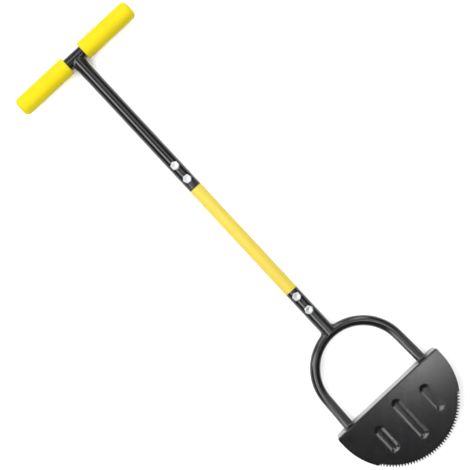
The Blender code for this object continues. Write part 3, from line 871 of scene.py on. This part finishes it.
def thickened(body, settings):
    """The folded skin with the sheet's thickness behind it and rounded edges."""
    skin = placed_mesh("folded_skin", body)
    solid = skin.modifiers.new("sheet", "SOLIDIFY")
    solid.thickness = settings.sheet
    solid.offset = -1.0
    solid.use_even_offset = True
    bevel = skin.modifiers.new("edges", "BEVEL")
    bevel.width = settings.edge_round
    bevel.segments = 2
    bevel.limit_method = "ANGLE"
    bevel.angle_limit = math.radians(50)
    bpy.context.view_layer.update()
    sheet = bmesh.new()
    sheet.from_mesh(skin.evaluated_get(bpy.context.evaluated_depsgraph_get()).data)
    bpy.data.objects.remove(skin)
    return sheet


# The blade's flat pattern: (s, y), where s runs along the sheet from the end of the fold


def bend_length(settings):
    return math.pi / 2 * settings.bend_radius


def face_start(settings):
    """Station at which the fold ends and the flat face starts."""
    return STEP_TOP + settings.bend_radius


def rear_edge(settings):
    """Pattern place of the step's rear edge."""
    tread = BLADE_FACE - STEP_REAR - settings.bend_radius
    return -bend_length(settings) - tread


def half_width(s, settings):
    """Half the width of the pattern beside the step and the fold."""
    full = BLADE_RADIUS
    narrow = BLADE_RADIUS - settings.step_inset
    fold = bend_length(settings)
    mix = min(max(-s / fold, 0.0), 1.0)
    return full + (narrow - full) * (mix * mix * (3 - 2 * mix))


def bend_rows(settings):
    """Pattern places of the rows across the fold, and one just off each side of it."""
    fold = bend_length(settings)
    rows = [-fold * i / FOLD_STEPS for i in range(FOLD_STEPS + 1)]
    return [FOLD_MARGIN, *rows, -fold - FOLD_MARGIN]


def blade_outline(settings):
    """Pattern outline: step corners, sides, straight shoulders and the toothed arc."""
    rear = rear_edge(settings)
    corner = settings.step_corner
    half = BLADE_RADIUS - settings.step_inset
    left = arc((rear + corner, -half + corner), corner, math.pi, 3 * math.pi / 2, CORNER_STEPS)
    side = [(s, -half_width(s, settings)) for s in sorted(bend_rows(settings))]
    centre = (BLADE_CENTRE - face_start(settings), 0.0)
    toothed = settings.toothed_arc / 2
    pitch = settings.toothed_arc / settings.teeth
    tip = pitch * TIP_SHARE
    gullet = pitch * GULLET_SHARE
    root = BLADE_RADIUS - settings.tooth_depth
    outline = [*left, *side]
    outline += arc(centre, BLADE_RADIUS, -math.pi / 2, -toothed, SHOULDER_STEPS)
    for i in range(settings.teeth):
        start = -toothed + pitch * i
        tooth = (
            (root, start + gullet),
            (BLADE_RADIUS, start + pitch / 2 - tip),
            (BLADE_RADIUS, start + pitch / 2 + tip),
            (root, start + pitch - gullet),
        )
        outline += [(centre[0] + r * math.cos(a), r * math.sin(a)) for r, a in tooth]
    outline += arc(centre, BLADE_RADIUS, toothed, math.pi / 2, SHOULDER_STEPS)
    outline += [(s, -y) for s, y in reversed([*left, *side])]
    return outline


def rib_places(settings):
    """Start, run and offset of each pressed rib in the pattern."""
    base = BLADE_CENTRE - face_start(settings)
    side = (base + settings.side_rib_start, settings.side_rib_length)
    middle = (base + settings.middle_rib_start, settings.middle_rib_length)
    offset = settings.side_rib_offset
    radius = settings.rib_width / 2
    places = []
    for (start, long), across in ((side, -offset), (middle, 0.0), (side, offset)):
        places.append((Vector((start + radius, across)), Vector((start + long - radius, across))))
    return places


def rib_rows(rib, settings):
    """Stadium-shaped rows down the wall of a rib, from just outside its rim to its middle line."""
    near, far = rib
    rim = settings.rib_width / 2
    floor = settings.rib_floor / 2
    wall = [rim + (floor - rim) * i / RIB_WALL_STEPS for i in range(RIB_WALL_STEPS + 1)]
    run = (far - near).length
    between = [near.x + run * i / RIB_RUN_PIECES for i in range(1, RIB_RUN_PIECES)]
    rows = []
    for radius in (rim + RIB_MARGIN, *wall, floor * RIB_MIDDLE_SHARE):
        row = arc(near, radius, math.pi / 2, 3 * math.pi / 2, RIB_END_STEPS)
        row += [(x, near.y - radius) for x in between]
        row += arc(far, radius, -math.pi / 2, math.pi / 2, RIB_END_STEPS)
        row += [(x, near.y + radius) for x in reversed(between)]
        rows.append(row)
    return rows


def rib_depth_at(point, ribs, settings):
    """How far a point of the pattern is pressed in."""
    rim = settings.rib_width / 2
    floor = settings.rib_floor / 2
    for near, far in ribs:
        along = min(max(point.x, near.x), far.x)
        distance = math.hypot(point.x - along, point.y - near.y)
        if distance < rim:
            # The wall runs straight, but for a parabola at its rim and another at its floor
            mix = min((rim - distance) / (rim - floor), 1.0)
            ease = min(mix, 1 - mix, settings.rib_ease) / settings.rib_ease
            bent = mix - 0.5 + math.copysign(settings.rib_ease * (1 - ease) ** 2 / 2, 0.5 - mix)
            return settings.rib_depth * (0.5 + bent / (1 - settings.rib_ease))
    return 0.0


def folded(point, ribs, settings):
    """A point of the pattern carried onto the folded and pressed outer surface."""
    radius = settings.bend_radius
    fold = bend_length(settings)
    start = face_start(settings)
    low = BLADE_FACE - radius
    if point.x >= 0:
        return Vector((start + point.x, point.y, BLADE_FACE - rib_depth_at(point, ribs, settings)))
    if point.x >= -fold:
        angle = -point.x / radius
        return Vector((start - radius * math.sin(angle), point.y, low + radius * math.cos(angle)))
    return Vector((STEP_TOP, point.y, low + point.x + fold))


class EDGER_OT_fasteners(bpy.types.Operator):
    """Makes the four bolts with their washers and nuts"""

    bl_idname = "edger.fasteners"
    bl_label = "Fasteners"

    def execute(self, context):
        settings = context.scene.edger_fasteners
        for i, (station, head_turn, nut_turn) in enumerate(zip(BOLT_STATIONS, HEAD_TURNS, NUT_TURNS), 1):
            spot = Matrix.Translation((station, 0.0, 0.0))
            make_bolt(i, spot @ Matrix.Rotation(math.radians(head_turn), 4, "Z"), settings)
            make_washer(i, spot, settings)
            make_nut(i, spot @ Matrix.Rotation(math.radians(nut_turn), 4, "Z"), settings)
        return {"FINISHED"}


def hexagon_ring(settings, height, inset=0.0):
    """A ring round a hexagon with corners on its own X axis; height may follow the radius."""
    flat = settings.across_flats / 2 - inset
    ring = []
    for i in range(TURNED_SIDES):
        angle = 2 * math.pi * i / TURNED_SIDES
        radius = flat / math.cos((angle % (math.pi / 3)) - math.pi / 6)
        ring.append(Vector((radius * math.cos(angle), radius * math.sin(angle), height(radius))))
    return ring


def hexagon_end(settings, top, down):
    """Rings from a hexagon's side over its turned chamfer to the round edge of its end."""
    turned = settings.across_flats / 2 * CHAMFER_START

    def sloped(radius):
        return top - down * max(radius - turned, 0.0) * math.tan(CHAMFER_ANGLE)

    rings = [
        hexagon_ring(settings, lambda r: sloped(r) - down * EDGE_BREAK),
        hexagon_ring(settings, lambda r: sloped(r + EDGE_FACET), EDGE_FACET),
    ]
    for radius in (turned, turned - SMALL_ROUND):
        rings.append([Vector((x, y, top)) for x, y in circle(radius, TURNED_SIDES)])
    return rings


def finished_fastener(kind, number, rings, place, looped=True):
    """A zinc-plated piece, carried to its place along the shaft."""
    body = new_body(rings, looped)
    bmesh.ops.transform(body, matrix=place, verts=body.verts)
    finished_piece(f"zinc_{kind}_{number}", body, "zinc_plate", f"{kind}_{number}")


def make_bolt(number, place, settings):
    """A hexagon bolt: chamfered and dished head, shank and threaded tip."""
    under = BOLT_TOP - settings.head_height
    dish, deep, shank = settings.dish_radius, settings.dish_depth, settings.shank_radius
    bowl = [(dish * t, BOLT_TOP - deep * (1 - t**2)) for t in (i / DISH_STEPS for i in range(DISH_STEPS))]
    bowl += [(dish + EDGE_FACET, BOLT_TOP - EDGE_FACET / 2), (dish + DISH_LIP, BOLT_TOP)]
    rings = turned_rings(bowl)
    rings += hexagon_end(settings, BOLT_TOP, 1)[::-1]
    rings.append(hexagon_ring(settings, lambda _: under + EDGE_BREAK))
    rings.append(hexagon_ring(settings, lambda _: under, EDGE_BREAK))
    groove = settings.thread_pitch
    height = BOLT_TIP + THREADED_LENGTH
    profile = [(shank, under), (shank, height)]
    while height - groove > BOLT_TIP + PLAIN_TIP:
        profile += [(shank - THREAD_DEPTH, height - groove / 2), (shank, height - groove)]
        height -= groove
    profile += [(shank - TIP_TAPER, BOLT_TIP), (0.0, BOLT_TIP)]
    rings += turned_rings(profile)
    finished_fastener("bolt", number, rings, place, looped=False)


def make_washer(number, place, settings):
    """A stamped washer with soft edges."""
    outer = (WASHER_HIGH.y - WASHER_LOW.y) / 2
    bore = settings.shank_radius + WASHER_PLAY
    profile = [(outer, WASHER_HIGH.z), (outer, WASHER_LOW.z), (bore, WASHER_LOW.z), (bore, WASHER_HIGH.z)]
    finished_fastener("washer", number, turned_rings(softened(profile, SMALL_ROUND, closed=True)), place)


def make_nut(number, place, settings):
    """A hexagon nut, chamfered at both ends and round its bore."""
    bore = settings.shank_radius + NUT_PLAY
    upper = hexagon_end(settings, NUT_HIGH.z, 1)[::-1]
    lower = hexagon_end(settings, NUT_LOW.z, -1)
    rings = [*upper, *lower]
    profile = [(bore + NUT_MOUTH, NUT_LOW.z), (bore, NUT_LOW.z + NUT_MOUTH)]
    profile += [(bore, NUT_HIGH.z - NUT_MOUTH), (bore + NUT_MOUTH, NUT_HIGH.z)]
    rings += turned_rings(profile)
    finished_fastener("nut", number, rings, place)


# Studio


class EDGER_OT_studio(bpy.types.Operator):
    """Sets the pale floor, the soft light and the camera"""

    bl_idname = "edger.studio"
    bl_label = "Studio"

    def execute(self, context):
        settings = context.scene.edger_studio
        middle = TOOL_ORIGIN + Vector((settings.view_station, settings.view_across, 0.0))
        lay_floor(middle, settings)
        raise_backdrop(middle, settings)
        light_world(settings)
        hang_lights(middle, settings)
        light_evenly(settings)
        place_camera(middle, settings)
        context.scene.view_settings.view_transform = "Standard"
        return {"FINISHED"}


def lay_floor(middle, settings):
    """A plain matt floor just under the tool."""
    body = bmesh.new()
    corners = [(x * FLOOR_HALF, y * FLOOR_HALF) for x, y in ((-1, -1), (1, -1), (1, 1), (-1, 1))]
    body.faces.new([body.verts.new((middle.x + x, middle.y + y, FLOOR_HEIGHT)) for x, y in corners])
    floor = placed_mesh("pale_floor", body)
    mixer = Mixer("matt_floor")
    tone = mixer.blend(mixer.noise(3.0, 3.0), tinted(settings.floor, 0.995), tinted(settings.floor, 1.0))
    floor.data.materials.append(mixer.paint(Base_Color=tone, Roughness=0.9, Specular_IOR_Level=0.1))


def raise_backdrop(middle, settings):
    """A pale round wall that only the camera sees, so it lights nothing."""
    foot = Matrix.Translation((middle.x, middle.y, FLOOR_HEIGHT))
    profile = [(BACKDROP_RADIUS, 0.0), (BACKDROP_RADIUS, BACKDROP_HEIGHT)]
    wall = placed_mesh("pale_backdrop", new_body(turned_rings(profile, TUBE_SIDES, foot)))
    wall.visible_diffuse = wall.visible_glossy = wall.visible_shadow = False
    mixer = Mixer("plain_backdrop")
    black, white = (0.0, 0.0, 0.0, 1.0), (1.0, 1.0, 1.0, 1.0)
    wall.data.materials.append(
        mixer.paint(Base_Color=black, Emission_Color=white, Emission_Strength=settings.backdrop)
    )


def light_world(settings):
    """Pale light from all round."""
    world = bpy.data.worlds.new("pale_surround")
    world.use_nodes = True
    background = world.node_tree.nodes["Background"]
    background.inputs["Color"].default_value = (1.0, 1.0, 1.0, 1.0)
    background.inputs["Strength"].default_value = settings.surround
    bpy.context.scene.world = world


def soft_light(name, place, aim, size, brightness, spin=0.0):
    """A rectangular light at a place, turned to a point, of an even brightness."""
    light = bpy.data.lights.new(name, "AREA")
    light.shape = "RECTANGLE"
    light.size, light.size_y = size
    light.energy = brightness * math.pi * size[0] * size[1]
    lamp = placed(name, light)
    lamp.location = place
    towards = (place - aim).normalized()
    along = (Vector((1.0, 0.0, 0.0)) - towards * towards.x).normalized()
    face = Matrix((along, towards.cross(along), towards)).transposed()
    lamp.rotation_euler = (face @ Matrix.Rotation(spin, 3, "Z")).to_euler()
    lamp.visible_camera = False


def hang_lights(middle, settings):
    """Lamps for the light lines on tubes and ribs, and for the shade across the blade."""
    for name, station, lean, size, brightness in (
        ("near_light", -0.22, -27.0, (1.55, 1.0), settings.near_light),
        ("far_light", -0.22, 27.0, (1.55, 1.0), settings.far_light),
        ("bail_near_light", 0.75, -44.0, (0.4, 0.6), settings.bail_light),
        ("bail_far_light", 0.75, 60.0, (0.4, 0.6), settings.bail_light * 0.2),
        ("rib_near_light", 0.75, -73.0, (0.4, 0.2), settings.rib_light),
        ("rib_far_light", 0.75, 67.0, (0.4, 0.2), settings.rib_light * 0.22),
        ("head_light", -1.5, 0.0, (0.8, 2.0), settings.head_light),
    ):
        over = middle + Vector((station, 0.0, 0.0))
        angle = math.radians(lean)
        place = over + Vector((0.0, math.sin(angle), math.cos(angle))) * LAMP_DISTANCE
        soft_light(name, place, over, size, brightness)
    for name, x, y, size, brightness in (
        ("blade_corner_light", 0.65, 0.2, (0.15, 0.15), settings.blade_light),
        ("blade_fold_light", 0.475, 0.125, (0.2, 0.2), settings.blade_light),
        ("blade_middle_light", 0.6, 0.1, (0.2, 0.2), settings.blade_light * 0.3),
        ("blade_side_light", 0.65, 0.8, (0.2, 0.25), settings.blade_light * 0.17),
    ):
        place = middle + Vector((x, y, BLADE_LAMP_HEIGHT))
        below = place - Vector((0.0, 0.0, 1.0))
        soft_light(name, place, below, size, brightness, BLADE_LAMP_SPIN)
    ribs = middle + Vector((RIB_STATION, 0.0, 0.0))
    for name, place, size, brightness in (
        ("rib_end_near_light", (-2.06, -0.55, 1.56), (0.4, 0.8), settings.rib_light * 0.6),
        ("rib_end_far_light", (-2.06, 0.55, 1.56), (0.4, 0.8), settings.rib_light * 0.6),
        ("rib_corner_near_light", (-1.3, -1.5, 1.3), (0.5, 1.1), settings.rib_light * 0.4),
        ("rib_corner_far_light", (-1.3, 1.5, 1.3), (0.5, 1.1), settings.rib_light * 0.4),
    ):
        soft_light(name, middle + Vector(place), ribs, size, brightness)


def light_evenly(settings):
    """A very soft light from above that reaches the whole floor and shows in no reflection."""
    light = bpy.data.lights.new("fill_light", "SUN")
    light.angle = math.radians(90)
    light.energy = settings.fill_light * math.pi
    lamp = placed("fill_light", light)
    lamp.rotation_euler = (math.radians(-15), 0.0, 0.0)
    lamp.visible_glossy = False


def place_camera(middle, settings):
    """A camera straight above the tool, turned so that the shaft runs as in the picture."""
    camera = bpy.data.cameras.new("picture_camera")
    camera.lens = camera.sensor_width * settings.camera_height / settings.view_width
    camera.clip_end = 50.0
    holder = placed("picture_camera", camera)
    holder.location = middle + Vector((0.0, 0.0, settings.camera_height))
    holder.rotation_euler = (0.0, 0.0, settings.view_roll)
    bpy.context.scene.camera = holder


class EDGER_PT_panel(bpy.types.Panel):
    """Lists the pieces and their settings"""

    bl_idname = "EDGER_PT_panel"
    bl_label = "Lawn Edger"
    bl_space_type = "VIEW_3D"
    bl_region_type = "UI"
    bl_category = "Lawn Edger"

    def draw(self, context):
        for label, group, operators in PANEL_ROWS:
            box = self.layout.box()
            box.label(text=label)
            settings = getattr(context.scene, group)
            for name in settings.bl_rna.properties.keys():
                if name not in ("rna_type", "name"):
                    box.prop(settings, name)
            for operator in operators:
                box.operator(operator)


PANEL_ROWS = (
    ("Handle", "edger_handle", ("edger.crossbar", "edger.grips")),
    ("Shaft", "edger_shaft", ("edger.upper_tube", "edger.middle_tube", "edger.socket_tube")),
    ("Bail", "edger_bail", ("edger.bail",)),
    ("Blade", "edger_blade", ("edger.blade",)),
    ("Fasteners", "edger_fasteners", ("edger.fasteners",)),
    ("Finishes", "edger_finish", ()),
    ("Studio", "edger_studio", ("edger.studio",)),
)

SETTING_GROUPS = {
    "edger_handle": HandleSettings,
    "edger_shaft": ShaftSettings,
    "edger_bail": BailSettings,
    "edger_blade": BladeSettings,
    "edger_fasteners": FastenerSettings,
    "edger_finish": FinishSettings,
    "edger_studio": StudioSettings,
}

OPERATORS = (
    EDGER_OT_crossbar,
    EDGER_OT_grips,
    EDGER_OT_upper_tube,
    EDGER_OT_middle_tube,
    EDGER_OT_socket_tube,
    EDGER_OT_bail,
    EDGER_OT_blade,
    EDGER_OT_fasteners,
    EDGER_OT_studio,
)


def register():
    for group in SETTING_GROUPS.values():
        bpy.utils.register_class(group)
    for name, group in SETTING_GROUPS.items():
        setattr(bpy.types.Scene, name, bpy.props.PointerProperty(type=group))
    for operator in OPERATORS:
        bpy.utils.register_class(operator)
    bpy.utils.register_class(EDGER_PT_panel)


def unregister():
    bpy.utils.unregister_class(EDGER_PT_panel)
    for operator in reversed(OPERATORS):
        bpy.utils.unregister_class(operator)
    for name in SETTING_GROUPS:
        delattr(bpy.types.Scene, name)
    for group in reversed(SETTING_GROUPS.values()):
        bpy.utils.unregister_class(group)


def main():
    register()
    for operator in OPERATORS:
        group, name = operator.bl_idname.split(".")
        getattr(getattr(bpy.ops, group), name)()


if __name__ == "__main__":
    main()
